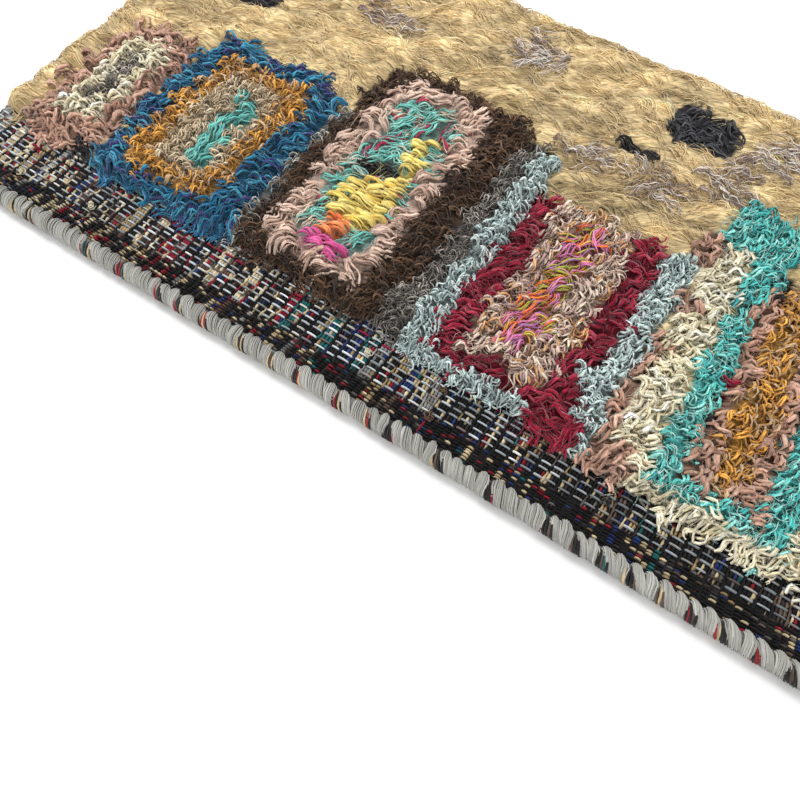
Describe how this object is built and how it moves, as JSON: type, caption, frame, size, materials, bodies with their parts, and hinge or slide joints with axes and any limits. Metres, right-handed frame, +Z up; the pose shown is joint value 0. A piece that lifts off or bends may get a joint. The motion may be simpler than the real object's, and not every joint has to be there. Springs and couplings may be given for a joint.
{
  "type": "shag rug cut length with a bound side edge",
  "caption": "Cut length of a knotted shag rug lying flat: woven ground, lumpy coloured pile with locks at its rim, and a grey overcast binding along the side edge.",
  "frame": {"origin": "centre of the rug's footprint, on the surface that it rests on", "axes": "+X along the bound edge, +Y from the bound edge into the pile, +Z up"},
  "size_m": [0.6596, 0.3799, 0.0208],
  "materials": {
    "ground_weave": "matt flat weave, black and mixed wool",
    "pile": "shag of mixed wool and cotton yarns",
    "selvedge_binding": "grey wool overcast"
  },
  "bodies": {
    "root": {"ground_weave": "ground_weave", "pile": "pile", "selvedge_binding": "selvedge_binding"}
  },
  "joints": []
}
